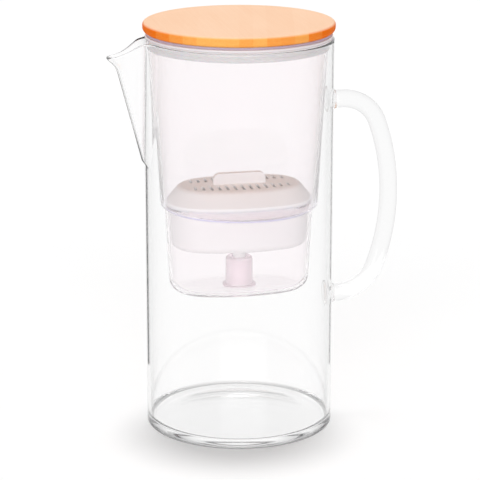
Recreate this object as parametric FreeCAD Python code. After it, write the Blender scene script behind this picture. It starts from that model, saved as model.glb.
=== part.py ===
"""Glass water filter pitcher: glass jug, bamboo lid, drop-in funnel and filter cartridge.

Millimetres, Z up. The jug stands on z = 0 and its axis is the Z axis.
The spout points along -X and the handle along +X.
"""
import FreeCAD, Part
import math
import os

Vec = FreeCAD.Vector
Z_AXIS = Vec(0, 0, 1)

# Glass jug
jug_radius = 60.0
jug_height = 253.0
jug_wall = 2.2
jug_floor = 5.0
base_edge_round = 2.0
floor_corner_round = 3.5
base_ring_width = 9.0
punt_depth = 1.2

# Pulled spout
spout_length = 81.0
spout_root_rise = 6.0
spout_root_reach = 3.0
spout_angle = 14.6
lip_drop = 20.0
lip_curl_radius = 14.0
lip_curl_angle = 45.0
nose_radius = 5.5
spout_blend_radius = 26.0
spout_dip = 9.0
dip_start = 0.5
side_turn = 80.0
root_blend_turn = 169.0
root_nose_turn = 177.0
straight_steps = 6
step_crowding = 1.5
curl_steps = 3
dip_angle = 32.0
dip_shoulder_radius = 6.0
dip_hollow_radius = 30.0
lip_tip_angle = 6.0

# Glass handle
rod_diameter = 11.5
handle_drop = 42.2
handle_height = 128.8
top_run = 8.0
top_bend = 24.0
bottom_bend = 28.0
grip_lean = 20.0
weld_spread = 2.6
weld_length = 4.0
weld_hollow = 0.8

# Funnel and its gasket
gasket_lip = 0.8
gasket_skirt = 1.4
gasket_depth = 5.7
gasket_rib = 0.5
gasket_ribs = 2
flange_inset = 1.0
flange_thickness = 1.6
funnel_wall = 2.0
funnel_taper = 5.7
reservoir_depth = 108.4
step_chamfer = 1.8
pocket_end_ledge = 2.3
pocket_half_depth = 31.0
pocket_crown = 3.0
pocket_depth = 57.5
pocket_draft = 3.0
pocket_round = 10.0

# Outlet post
post_radius = 8.7
post_height = 19.4
post_round = 4.0
post_wall = 1.8
post_neck_step = 1.2
post_foot_width = 2.0
post_foot_thickness = 1.5
post_top_thickness = 4.0

# Lid and its seal
lid_overhang = 0.6
lid_thickness = 6.6
lid_edge_round = 3.0
lid_plug_depth = 7.5
plug_lip_height = 1.0
plug_lip_width = 1.0
lid_seal_thickness = 1.6
lid_seal_inset = 1.0
lid_seal_skirt = 2.2
lid_seal_rib = 0.6
lid_seal_ribs = 2

# Filter cartridge
cartridge_drop = 28.0
cartridge_wall = 1.6
cartridge_round = 5.0
cartridge_inner_round = 1.5
cartridge_flange = 1.5
cartridge_flange_width = 2.0
cartridge_seal_height = 1.0
spigot_radius = 4.0
spigot_wall = 1.2
spigot_engagement = 3.4
o_ring_section = 1.6
o_ring_bite = 0.8
fleece_thickness = 2.5
carbon_depth = 11.0
cap_rise = 9.0
cap_inset = 8.0
cap_round = 5.0
cap_wall = 1.6
slot_width = 1.8
slot_pitch = 5.0
slot_margin = 4.0
grip_length = 34.0
grip_thickness = 3.6
grip_height = 7.0
grip_corner = 4.2

# Clearances
glass_fit = 0.5
seal_fit = 0.3
pocket_fit = 0.7
post_fit = 0.1
bed_fit = 0.15
seat_fit = 0.05
cut_over = 2.0

# Levels, from the table up
rim_z = jug_height
gasket_top_z = rim_z + gasket_lip
flange_top_z = gasket_top_z + flange_thickness
lid_under_z = flange_top_z + lid_seal_thickness
lid_top_z = lid_under_z + lid_thickness
ledge_z = flange_top_z - reservoir_depth
pocket_bottom_z = ledge_z - pocket_depth
pocket_floor_z = pocket_bottom_z + funnel_wall
post_top_z = pocket_floor_z + post_height
shell_bottom_z = ledge_z - cartridge_drop
shell_flange_z = ledge_z + cartridge_seal_height
shell_top_z = shell_flange_z + cartridge_flange
spigot_bottom_z = post_top_z - spigot_engagement
o_ring_z = post_top_z - post_top_thickness / 2.0

# Radii, from the glass inwards
jug_inner_radius = jug_radius - jug_wall
gasket_radius = jug_inner_radius - glass_fit
collar_radius = gasket_radius - gasket_skirt
mouth_radius = collar_radius - funnel_wall
step_radius = collar_radius - funnel_taper
seal_radius = mouth_radius - seal_fit
plug_radius = seal_radius - lid_seal_skirt
flange_radius = jug_radius - flange_inset
lid_radius = jug_radius + lid_overhang
groove_radius = spigot_radius - o_ring_bite
o_ring_radius = groove_radius + seat_fit + o_ring_section
post_bore_radius = o_ring_radius + post_fit
post_neck_radius = post_radius - post_neck_step

# Pocket oval: two end arcs and two flat side arcs about fixed centres
pocket_half_length = step_radius - pocket_end_ledge
end_radius = pocket_half_depth - pocket_crown
end_centre = pocket_half_length - end_radius
side_centre = (end_centre ** 2 - pocket_crown ** 2) / (2.0 * pocket_crown)
side_radius = pocket_half_depth + side_centre


def polar(radius, degrees, z):
    """Point at a radius and an angle from +X."""
    angle = math.radians(degrees)
    return Vec(radius * math.cos(angle), radius * math.sin(angle), z)


def arc(start, middle, end):
    """Edge of a circular arc through three points."""
    return Part.Arc(start, middle, end).toShape()


def line(start, end):
    """Straight edge."""
    return Part.LineSegment(start, end).toShape()


def revolve(edges):
    """Solid of revolution about Z of a closed outline in the XZ plane."""
    face = Part.Face(Part.Wire(edges))
    return face.revolve(Vec(0, 0, 0), Z_AXIS, 360)


def polyline(points):
    """Closed chain of straight edges through the points."""
    closed = points + points[:1]
    return [line(a, b) for a, b in zip(closed, closed[1:])]


def ring(inner, outer, bottom, top):
    """Plain ring of rectangular section."""
    return Part.makeCylinder(outer, top - bottom, Vec(0, 0, bottom)).cut(
        Part.makeCylinder(inner, top - bottom, Vec(0, 0, bottom)))


def disc(radius, bottom, top):
    """Upright cylinder about the jug's axis."""
    return Part.makeCylinder(radius, top - bottom, Vec(0, 0, bottom))


def level_edges(shape, z):
    """Edges of a shape that lie wholly at one height."""
    found = []
    for edge in shape.Edges:
        box = edge.BoundBox
        if abs(box.ZMin - z) < 1e-3 and abs(box.ZMax - z) < 1e-3:
            found.append(edge)
    return found


def export(name, shape):
    """Write one node, after checking that it is sound."""
    if not shape.isValid():
        raise ValueError(name + " is not a valid shape")
    shape.exportStep("parts/" + name + ".step")
    print(name, len(shape.Solids), "solid", round(shape.Volume), "mm3")


# Oval sections of the pocket and of everything that fits in it
def oval(offset, z):
    """Closed oval wire at height z, parallel to the pocket's outline at the ledge."""
    end = end_radius + offset
    side = side_radius + offset
    tilt = math.atan2(side_centre, end_centre)
    tangent_x = end_centre + end * math.cos(tilt)
    tangent_y = end * math.sin(tilt)
    middle_x = end_centre + end * math.cos(tilt / 2.0)
    middle_y = end * math.sin(tilt / 2.0)
    tip = end_centre + end
    crown = side - side_centre
    return Part.Wire([
        arc(Vec(tip, 0, z), Vec(middle_x, middle_y, z), Vec(tangent_x, tangent_y, z)),
        arc(Vec(tangent_x, tangent_y, z), Vec(0, crown, z), Vec(-tangent_x, tangent_y, z)),
        arc(Vec(-tangent_x, tangent_y, z), Vec(-tip, 0, z), Vec(-tangent_x, -tangent_y, z)),
        arc(Vec(-tangent_x, -tangent_y, z), Vec(0, -crown, z), Vec(tangent_x, -tangent_y, z)),
        arc(Vec(tangent_x, -tangent_y, z), Vec(middle_x, -middle_y, z), Vec(tip, 0, z)),
    ])


def oval_solid(low_offset, low_z, high_offset, high_z):
    """Drafted oval block between two heights."""
    return Part.makeLoft([oval(low_offset, low_z), oval(high_offset, high_z)], True, True)


def pocket_offset(z):
    """Offset of the pocket's outer wall at a height, from its draft."""
    return -pocket_draft * (ledge_z - z) / pocket_depth


def drafted(inset, low_z, high_z):
    """Oval block that follows the pocket's draft, a set distance inside its outer wall."""
    return oval_solid(pocket_offset(low_z) - inset, low_z, pocket_offset(high_z) - inset, high_z)


# Glass
def spout_reach(z):
    """How far the spout's nose stands out from the wall at a height."""
    root_z = rim_z - spout_length
    straight_z = root_z + spout_root_rise
    curl_z = rim_z - lip_drop
    lean = math.radians(spout_angle)
    reach = spout_root_reach + (min(z, curl_z) - straight_z) * math.tan(lean)
    if z > curl_z:
        sine = math.sin(lean) + (z - curl_z) / lip_curl_radius
        sine = min(sine, math.sin(math.radians(lip_curl_angle)))
        turn = math.asin(sine)
        reach += lip_curl_radius * (math.cos(lean) - math.cos(turn))
        over = z - curl_z - lip_curl_radius * (sine - math.sin(lean))
        reach += over * math.tan(turn)
    return reach


def spout_section(reach, inset, z):
    """Jug outline at a height: main circle, two hollow blends and the nose, inset from the glass's outside."""
    main = jug_radius - inset
    blend = spout_blend_radius + inset
    nose = nose_radius - inset
    nose_x = jug_radius + reach - nose_radius
    blend_distance = jug_radius + spout_blend_radius
    gap = nose_radius + spout_blend_radius
    cosine = (blend_distance ** 2 + nose_x ** 2 - gap ** 2) / (2.0 * blend_distance * nose_x)
    turn = math.acos(cosine)
    centre = Vec(-blend_distance * math.cos(turn), blend_distance * math.sin(turn), z)
    nose_centre = Vec(-nose_x, 0, z)
    to_axis = (Vec(0, 0, z) - centre).normalize()
    to_nose = (nose_centre - centre).normalize()
    to_middle = (to_axis + to_nose).normalize()
    wall_point = centre + to_axis * blend
    blend_point = centre + to_middle * blend
    nose_point = centre + to_nose * blend
    nose_tip = nose_centre + Vec(-nose, 0, 0)

    def mirrored(point):
        return Vec(point.x, -point.y, point.z)

    wall_turn = 180.0 - math.degrees(turn)
    quarter = polar(main, side_turn, z)
    half = [
        (Vec(main, 0, z), polar(main, side_turn / 2.0, z), quarter),
        (quarter, polar(main, (side_turn + wall_turn) / 2.0, z), wall_point),
        (wall_point, blend_point, nose_point),
    ]
    edges = [arc(*points) for points in half]
    edges.append(arc(nose_point, nose_tip, mirrored(nose_point)))
    for first, middle, last in reversed(half):
        edges.append(arc(mirrored(last), mirrored(middle), mirrored(first)))
    return Part.Wire(edges)


def plain_section(inset, z):
    """Jug outline where the spout begins: a circle, split like the spout's sections."""
    main = jug_radius - inset
    turns = [0.0, side_turn, root_blend_turn, root_nose_turn]
    turns += [360.0 - turn for turn in reversed(turns)]
    edges = []
    for low, high in zip(turns, turns[1:]):
        edges.append(arc(polar(main, low, z), polar(main, (low + high) / 2.0, z), polar(main, high, z)))
    return Part.Wire(edges)


def spouted_wall(inset):
    """Upper part of the jug with its spout, as a filled solid inset from the glass's outside."""
    root_z = rim_z - spout_length
    straight_z = root_z + spout_root_rise
    curl_z = rim_z - lip_drop
    lean = math.radians(spout_angle)
    curl_end = math.radians(lip_curl_angle)
    top_z = rim_z + cut_over
    levels = []
    for step in range(straight_steps + 1):
        # Closer together near the root, where the blend spreads fastest
        levels.append(straight_z + (curl_z - straight_z) * (step / straight_steps) ** step_crowding)
    for step in range(1, curl_steps + 1):
        turn = lean + (curl_end - lean) * step / curl_steps
        levels.append(curl_z + lip_curl_radius * (math.sin(turn) - math.sin(lean)))
    levels += [(levels[-1] + top_z) / 2.0, top_z]
    wires = [plain_section(inset, root_z)]
    wires += [spout_section(spout_reach(z), inset, z) for z in levels]
    return Part.makeLoft(wires, True, False)


def rim_cutter():
    """Everything above the rim line, which dips in an S-curve along the spout."""
    steep = math.radians(dip_angle)
    flat = math.radians(lip_tip_angle)
    shoulder = Vec(-(jug_radius + dip_start), 0, rim_z)
    shoulder_drop = dip_shoulder_radius * (1.0 - math.cos(steep))
    hollow_drop = dip_hollow_radius * (math.cos(flat) - math.cos(steep))
    fall = spout_dip - shoulder_drop - hollow_drop

    def over(angle):
        turn = Vec(-math.sin(angle), 0, math.cos(angle) - 1.0)
        return shoulder + turn * dip_shoulder_radius

    fall_top = over(steep)
    fall_bottom = fall_top + Vec(-fall / math.tan(steep), 0, -fall)

    def under(angle):
        turn = Vec(math.sin(angle) - math.sin(steep), 0, math.cos(steep) - math.cos(angle))
        return fall_bottom + turn * dip_hollow_radius

    # The line turns down from level, falls straight, and turns back up to the lip's own slope
    lip = under(flat)
    far_x = -2.0 * (jug_radius + spout_length)
    beyond = Vec(far_x, 0, lip.z + (far_x - lip.x) * math.tan(flat))
    top_z = 2.0 * rim_z
    outline = Part.Wire([
        line(Vec(-far_x, 0, rim_z), shoulder),
        arc(shoulder, over(steep / 2.0), fall_top),
        line(fall_top, fall_bottom),
        arc(fall_bottom, under((steep + flat) / 2.0), lip),
        line(lip, beyond),
        line(beyond, Vec(far_x, 0, top_z)),
        line(Vec(far_x, 0, top_z), Vec(-far_x, 0, top_z)),
        line(Vec(-far_x, 0, top_z), Vec(-far_x, 0, rim_z)),
    ])
    block = Part.Face(outline).extrude(Vec(0, -2.0 * far_x, 0))
    block.translate(Vec(0, far_x, 0))
    return block


def jug_outside():
    """Filled outside of the jug below the spout, with its rounded foot and shallow punt."""
    top_z = rim_z - spout_length
    punt_radius = jug_radius - base_edge_round - base_ring_width
    centre = Vec(jug_radius - base_edge_round, 0, base_edge_round)
    slant = base_edge_round * math.sqrt(0.5)
    sphere = (punt_radius ** 2 + punt_depth ** 2) / (2.0 * punt_depth)
    half = punt_radius / 2.0
    half_rise = math.sqrt(sphere ** 2 - half ** 2) - (sphere - punt_depth)
    foot = Vec(centre.x, 0, 0)
    wall = Vec(jug_radius, 0, base_edge_round)
    return revolve([
        arc(Vec(0, 0, punt_depth), Vec(half, 0, half_rise), Vec(punt_radius, 0, 0)),
        line(Vec(punt_radius, 0, 0), foot),
        arc(foot, centre + Vec(slant, 0, -slant), wall),
        line(wall, Vec(jug_radius, 0, top_z)),
        line(Vec(jug_radius, 0, top_z), Vec(0, 0, top_z)),
        line(Vec(0, 0, top_z), Vec(0, 0, punt_depth)),
    ])


def jug_inside():
    """Hollow of the jug below the spout, with its rounded floor corner."""
    top_z = rim_z - spout_length
    centre = Vec(jug_inner_radius - floor_corner_round, 0, jug_floor + floor_corner_round)
    slant = floor_corner_round * math.sqrt(0.5)
    floor_edge = Vec(centre.x, 0, jug_floor)
    wall = Vec(jug_inner_radius, 0, centre.z)
    return revolve([
        line(Vec(0, 0, jug_floor), floor_edge),
        arc(floor_edge, centre + Vec(slant, 0, -slant), wall),
        line(wall, Vec(jug_inner_radius, 0, top_z)),
        line(Vec(jug_inner_radius, 0, top_z), Vec(0, 0, top_z)),
        line(Vec(0, 0, top_z), Vec(0, 0, jug_floor)),
    ])


def make_glass_body():
    """Jug with its pulled spout, dipped rim and fire-polished edges."""
    outside = jug_outside().fuse(spouted_wall(0.0))
    inside = jug_inside().fuse(spouted_wall(jug_wall))
    return outside.cut(rim_cutter()).cut(inside).removeSplitter()


def make_glass_handle():
    """Bent glass rod with flared welds, cut to the jug's wall."""
    radius = rod_diameter / 2.0
    top_z = rim_z - handle_drop
    bottom_z = top_z - handle_height
    steep = math.radians(90.0 - grip_lean)
    lean = math.radians(grip_lean)
    start = Vec(jug_radius + top_run, 0, top_z)

    def top_turn(angle):
        return start + Vec(top_bend * math.sin(angle), 0, -top_bend * (1.0 - math.cos(angle)))

    grip_top = top_turn(steep)
    grip_bottom_z = bottom_z + bottom_bend * (1.0 - math.cos(steep))
    grip_radius = (grip_top.z - grip_bottom_z) / (2.0 * math.sin(lean))
    grip_middle = Vec(
        grip_top.x + grip_radius * (1.0 - math.cos(lean)), 0, (grip_top.z + grip_bottom_z) / 2.0)
    grip_bottom = Vec(grip_top.x, 0, grip_bottom_z)
    bottom_end = Vec(grip_bottom.x - bottom_bend * math.sin(steep), 0, bottom_z)
    half = steep / 2.0
    bottom_middle = bottom_end + Vec(
        bottom_bend * math.sin(half), 0, bottom_bend * (1.0 - math.cos(half)))
    top_weld_end = Vec(jug_radius + weld_length, 0, top_z)
    bottom_weld_end = Vec(jug_radius + weld_length, 0, bottom_z)
    path = Part.Wire([
        line(top_weld_end, start),
        arc(start, top_turn(half), grip_top),
        arc(grip_top, grip_middle, grip_bottom),
        arc(grip_bottom, bottom_middle, bottom_end),
        line(bottom_end, bottom_weld_end),
    ])
    section = Part.Wire(Part.makeCircle(radius, top_weld_end, Vec(1, 0, 0)))
    rod = path.makePipeShell([section], True, False)
    welds = [make_weld(z) for z in (top_z, bottom_z)]
    jug = disc(jug_radius, 0, rim_z)
    return rod.fuse(welds).cut(jug).removeSplitter()


def make_weld(z):
    """Flared end of the handle about its arm's axis, reaching into the jug's wall."""
    radius = rod_diameter / 2.0
    end_x = jug_radius + weld_length
    root_x = jug_radius - jug_wall
    wide = radius + weld_spread
    # The flare's side is hollow: its middle lies inside the straight line between its ends
    chord = math.hypot(weld_length, weld_spread)
    hollow = Vec(
        (jug_radius + end_x) / 2.0 - weld_hollow * weld_spread / chord, 0,
        z + (wide + radius) / 2.0 - weld_hollow * weld_length / chord)
    outline = Part.Wire([
        line(Vec(root_x, 0, z), Vec(root_x, 0, z + wide)),
        line(Vec(root_x, 0, z + wide), Vec(jug_radius, 0, z + wide)),
        arc(Vec(jug_radius, 0, z + wide), hollow, Vec(end_x, 0, z + radius)),
        line(Vec(end_x, 0, z + radius), Vec(end_x, 0, z)),
        line(Vec(end_x, 0, z), Vec(root_x, 0, z)),
    ])
    return Part.Face(outline).revolve(Vec(0, 0, z), Vec(1, 0, 0), 360)


# Funnel
def make_funnel():
    """Moulded insert: flange, conical reservoir, step and oval pocket with the outlet hole."""
    under_step_z = ledge_z - funnel_wall
    skirt_z = rim_z - gasket_depth
    outside = revolve(polyline([
        Vec(0, 0, under_step_z),
        Vec(step_radius - step_chamfer, 0, under_step_z),
        Vec(step_radius, 0, under_step_z + step_chamfer),
        Vec(collar_radius, 0, skirt_z),
        Vec(collar_radius, 0, gasket_top_z),
        Vec(flange_radius, 0, gasket_top_z),
        Vec(flange_radius, 0, flange_top_z),
        Vec(0, 0, flange_top_z),
    ]))
    inside = revolve(polyline([
        Vec(0, 0, ledge_z),
        Vec(step_radius - funnel_wall, 0, ledge_z),
        Vec(mouth_radius, 0, skirt_z),
        Vec(mouth_radius, 0, flange_top_z + cut_over),
        Vec(0, 0, flange_top_z + cut_over),
    ]))
    pocket = drafted(0.0, pocket_bottom_z, ledge_z)
    pocket = pocket.makeFillet(pocket_round, level_edges(pocket, pocket_bottom_z))
    hollow = drafted(funnel_wall, pocket_floor_z, ledge_z + cut_over)
    hollow = hollow.makeFillet(pocket_round - funnel_wall, level_edges(hollow, pocket_floor_z))
    outlet = disc(post_neck_radius + post_fit, pocket_bottom_z - cut_over, pocket_floor_z + cut_over)
    shell = outside.fuse(pocket).cut(inside.fuse(hollow)).cut(outlet)
    return shell.removeSplitter()


def ribbed_skirt(inner, valley, rib, count, bottom, top):
    """Seal skirt with rounded ribs round its outside."""
    pitch = (top - bottom) / count
    edges = [line(Vec(inner, 0, bottom), Vec(valley, 0, bottom))]
    for index in range(count):
        low = bottom + pitch * index
        edges.append(arc(
            Vec(valley, 0, low), Vec(valley + rib, 0, low + pitch / 2.0), Vec(valley, 0, low + pitch)))
    edges.append(line(Vec(valley, 0, top), Vec(inner, 0, top)))
    edges.append(line(Vec(inner, 0, top), Vec(inner, 0, bottom)))
    return revolve(edges)


def make_funnel_gasket():
    """Silicone ring with a lip on the glass rim and a ribbed skirt inside the glass."""
    inner = collar_radius + seat_fit
    lip = ring(inner, flange_radius, rim_z, gasket_top_z)
    skirt = ribbed_skirt(inner, gasket_radius - gasket_rib, gasket_rib, gasket_ribs, rim_z - gasket_depth, rim_z)
    return lip.fuse(skirt).removeSplitter()


def make_outlet_post():
    """Hollow domed post that stands in the pocket's floor and takes the cartridge's spigot."""
    body = disc(post_radius, pocket_floor_z, post_top_z)
    body = body.makeFillet(post_round, level_edges(body, post_top_z))
    foot_top_z = pocket_floor_z + post_foot_thickness
    foot = disc(post_radius + post_foot_width, pocket_floor_z, foot_top_z)
    neck = disc(post_neck_radius, pocket_bottom_z, pocket_floor_z)
    cavity = disc(post_neck_radius - post_wall, pocket_bottom_z, post_top_z - post_top_thickness)
    bore = disc(post_bore_radius, pocket_floor_z, post_top_z)
    return body.fuse([foot, neck]).cut(cavity.fuse(bore)).removeSplitter()


# Lid
def make_lid_disc():
    """Turned bamboo disc with rounded edges, and a plug with a groove for its seal."""
    board = disc(lid_radius, lid_under_z, lid_top_z)
    board = board.makeFillet(lid_edge_round, level_edges(board, lid_top_z) + level_edges(board, lid_under_z))
    plug_bottom_z = lid_under_z - lid_plug_depth
    plug = disc(plug_radius, plug_bottom_z, lid_under_z)
    lip = disc(plug_radius + plug_lip_width, plug_bottom_z, plug_bottom_z + plug_lip_height)
    return board.fuse([plug, lip]).removeSplitter()


def make_lid_seal():
    """Silicone ring in the plug's groove, with a flange between the board and the funnel."""
    inner = plug_radius + seat_fit
    skirt_z = lid_under_z - lid_plug_depth + plug_lip_height
    flange = ring(inner, flange_radius - lid_seal_inset, flange_top_z, lid_under_z)
    skirt = ribbed_skirt(inner, seal_radius - lid_seal_rib, lid_seal_rib, lid_seal_ribs, skirt_z, flange_top_z)
    return flange.fuse(skirt).removeSplitter()


# Cartridge
shell_inset = funnel_wall + pocket_fit
bed_inset = shell_inset + cartridge_wall + bed_fit
flange_offset = cartridge_flange_width - shell_inset
shell_floor_z = shell_bottom_z + cartridge_wall


def make_cartridge_shell():
    """Oval cup that hangs in the pocket by its flange, with an outlet spigot and its groove."""
    cup = drafted(shell_inset, shell_bottom_z, shell_top_z)
    cup = cup.makeFillet(cartridge_round, level_edges(cup, shell_bottom_z))
    hollow = drafted(shell_inset + cartridge_wall, shell_floor_z, shell_top_z)
    hollow = hollow.makeFillet(cartridge_inner_round, level_edges(hollow, shell_floor_z))
    flange = oval_solid(flange_offset, shell_flange_z, flange_offset, shell_top_z)
    spigot = disc(spigot_radius, spigot_bottom_z, shell_floor_z)
    bore = disc(spigot_radius - o_ring_bite - spigot_wall, spigot_bottom_z, shell_floor_z)
    half = o_ring_section / 2.0 + seat_fit
    groove = ring(groove_radius, spigot_radius + cut_over, o_ring_z - half, o_ring_z + half)
    return cup.fuse(flange).cut(hollow).fuse(spigot).cut(bore.fuse(groove)).removeSplitter()


def make_cartridge_cap():
    """Domed inlet cap with two rows of slots and a pull grip between them."""
    base = flange_offset
    top = base - cap_inset
    cap_top_z = shell_top_z + cap_rise
    dome = oval_solid(base, shell_top_z, top, cap_top_z)
    dome = dome.makeFillet(cap_round, level_edges(dome, cap_top_z))
    hollow = oval_solid(base - cap_wall, shell_top_z, top - cap_wall, cap_top_z - cap_wall)
    hollow = hollow.makeFillet(cap_round - cap_wall, level_edges(hollow, cap_top_z - cap_wall))
    grip = make_grip(cap_top_z)
    flat_length = pocket_half_length + top - cap_round
    flat_depth = pocket_half_depth + top - cap_round
    inner_y = grip_thickness / 2.0 + slot_margin
    count = 1 + 2 * int((flat_length - slot_margin) / slot_pitch)
    slots = []
    for index in range(count):
        x = slot_pitch * (index - (count - 1) / 2.0)
        # The flat top is narrower towards its ends
        fall = side_radius - math.sqrt(side_radius ** 2 - x ** 2)
        length = flat_depth - fall - inner_y
        for side in (-1.0, 1.0):
            y = side * (inner_y + length / 2.0)
            corner = Vec(x - slot_width / 2.0, y - length / 2.0, cap_top_z - cap_rise / 2.0)
            slots.append(Part.makeBox(slot_width, length, cap_rise, corner))
    return dome.cut(hollow).cut(slots).fuse(grip).removeSplitter()


def make_grip(base_z):
    """Pull grip: an upright web with a round-cornered outline."""
    half = grip_length / 2.0
    corner = grip_corner
    slant = corner * (1.0 - math.sqrt(0.5))
    top_z = base_z + grip_height
    low_z = base_z - cap_wall / 2.0
    outline = Part.Wire([
        line(Vec(-half, 0, low_z), Vec(half, 0, low_z)),
        line(Vec(half, 0, low_z), Vec(half, 0, top_z - corner)),
        arc(Vec(half, 0, top_z - corner), Vec(half - slant, 0, top_z - slant), Vec(half - corner, 0, top_z)),
        line(Vec(half - corner, 0, top_z), Vec(corner - half, 0, top_z)),
        arc(Vec(corner - half, 0, top_z), Vec(slant - half, 0, top_z - slant), Vec(-half, 0, top_z - corner)),
        line(Vec(-half, 0, top_z - corner), Vec(-half, 0, low_z)),
    ])
    web = Part.Face(outline).extrude(Vec(0, grip_thickness, 0))
    web.translate(Vec(0, -grip_thickness / 2.0, 0))
    return web


def make_cartridge_seal():
    """Flat oval ring between the cartridge's flange and the step."""
    outer = oval_solid(flange_offset, ledge_z, flange_offset, shell_flange_z)
    return outer.cut(drafted(shell_inset - seat_fit, ledge_z, shell_flange_z))


def make_o_ring():
    """O-ring on the spigot, inside the post's bore."""
    section = o_ring_section / 2.0
    return Part.makeTorus(groove_radius + seat_fit + section, section, Vec(0, 0, o_ring_z))


def bed_levels():
    """Heights between the layers of the filter bed, from the bottom up."""
    lower_top = shell_floor_z + fleece_thickness
    upper_bottom = shell_top_z - fleece_thickness
    carbon_bottom = upper_bottom - carbon_depth
    resin_top = carbon_bottom - fleece_thickness
    return [shell_floor_z, lower_top, resin_top, carbon_bottom, upper_bottom, shell_top_z]


os.makedirs("parts", exist_ok=True)
export("glass_body", make_glass_body())
export("glass_handle", make_glass_handle())
export("funnel", make_funnel())
export("funnel_gasket", make_funnel_gasket())
export("outlet_post", make_outlet_post())
export("lid_disc", make_lid_disc())
export("lid_seal", make_lid_seal())
export("cartridge_shell", make_cartridge_shell())
export("cartridge_cap", make_cartridge_cap())
export("cartridge_seal", make_cartridge_seal())
export("spigot_o_ring", make_o_ring())
levels = bed_levels()
# The lowest pad lies inside the rounded corner of the shell's floor
export("lower_fleece", drafted(bed_inset + cartridge_inner_round, levels[0], levels[1]))
for index, layer in enumerate(("resin_bed", "middle_fleece", "carbon_bed", "upper_fleece"), start=1):
    export(layer, drafted(bed_inset, levels[index], levels[index + 1]))
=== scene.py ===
"""Looks of a glass water filter pitcher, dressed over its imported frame.

The sub-assemblies hold their sizes in millimetres, and every mesh is written in metres. The finishes and
the studio hold metres and degrees. The jug stands on z = 0 about the Z axis, with its spout along -X and
its handle along +X.
"""
import logging
import math
from dataclasses import dataclass
from enum import Enum
from typing import Any, Optional, Sequence, Union

import bpy
import numpy as np
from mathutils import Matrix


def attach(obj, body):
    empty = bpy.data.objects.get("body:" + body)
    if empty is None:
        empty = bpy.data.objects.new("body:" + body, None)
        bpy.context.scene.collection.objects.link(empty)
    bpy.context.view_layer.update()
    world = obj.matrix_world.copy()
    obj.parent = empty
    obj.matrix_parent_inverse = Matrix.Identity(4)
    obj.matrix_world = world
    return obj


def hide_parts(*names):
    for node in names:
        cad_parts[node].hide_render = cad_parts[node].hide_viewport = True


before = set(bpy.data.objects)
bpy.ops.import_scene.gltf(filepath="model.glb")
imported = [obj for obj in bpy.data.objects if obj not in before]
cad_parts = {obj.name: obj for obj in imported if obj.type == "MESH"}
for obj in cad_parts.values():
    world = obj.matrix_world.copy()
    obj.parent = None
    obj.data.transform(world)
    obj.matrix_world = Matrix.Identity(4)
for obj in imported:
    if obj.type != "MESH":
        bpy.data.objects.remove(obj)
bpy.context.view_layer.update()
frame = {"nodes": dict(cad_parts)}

Triple = tuple[float, float, float]
Colour = Triple
Corner = Triple

MM = 0.001
WHITE = (1.0, 1.0, 1.0)
log = logging.getLogger("pitcher")


class Ends(Enum):
    """How the first and last rings of a grid are closed."""

    POLES = "each end is closed by a point"
    LOOP = "the last ring joins the first"


class Grain(Enum):
    """What fills a layer of the filter bed."""

    BEADS = "round resin beads"
    GRANULES = "broken carbon granules"


# Node sheets

class Sock:
    """One output of a node, with the arithmetic that the finishes use."""

    def __init__(self, sheet: "NodeSheet", socket: bpy.types.NodeSocket) -> None:
        """Keep the output and the sheet that it belongs to."""
        self.sheet = sheet
        self.socket = socket

    def _math(self, operation: str, first: "Value", second: "Value") -> "Sock":
        """Add a Math node.

        Args:
            operation: the Math node's operation.
            first: its first value.
            second: its second value.

        Returns:
            The node's output.
        """
        return self.sheet.node("ShaderNodeMath", {"operation": operation}, {0: first, 1: second})

    def __add__(self, other: "Value") -> "Sock":
        """Sum of two values."""
        return self._math("ADD", self, other)

    def __radd__(self, other: "Value") -> "Sock":
        """Sum of two values."""
        return self._math("ADD", other, self)

    def __sub__(self, other: "Value") -> "Sock":
        """Difference of two values."""
        return self._math("SUBTRACT", self, other)

    def __rsub__(self, other: "Value") -> "Sock":
        """Difference of two values."""
        return self._math("SUBTRACT", other, self)

    def __mul__(self, other: "Value") -> "Sock":
        """Product of two values."""
        return self._math("MULTIPLY", self, other)

    def __rmul__(self, other: "Value") -> "Sock":
        """Product of two values."""
        return self._math("MULTIPLY", other, self)

    def __truediv__(self, other: "Value") -> "Sock":
        """Quotient of two values."""
        return self._math("DIVIDE", self, other)

    def __rtruediv__(self, other: "Value") -> "Sock":
        """Quotient of two values."""
        return self._math("DIVIDE", other, self)

    def __pow__(self, other: "Value") -> "Sock":
        """One value to the power of another."""
        return self._math("POWER", self, other)

    def __rpow__(self, other: "Value") -> "Sock":
        """One value to the power of another."""
        return self._math("POWER", other, self)

    def at_most(self, level: "Value") -> "Sock":
        """The smaller of the value and a level."""
        return self._math("MINIMUM", self, level)

    def at_least(self, level: "Value") -> "Sock":
        """The larger of the value and a level."""
        return self._math("MAXIMUM", self, level)

    def within(self, low: float = 0.0, high: float = 1.0) -> "Sock":
        """The value, held between two levels."""
        return self.at_least(low).at_most(high)


Value = Union[Sock, float]


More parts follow.
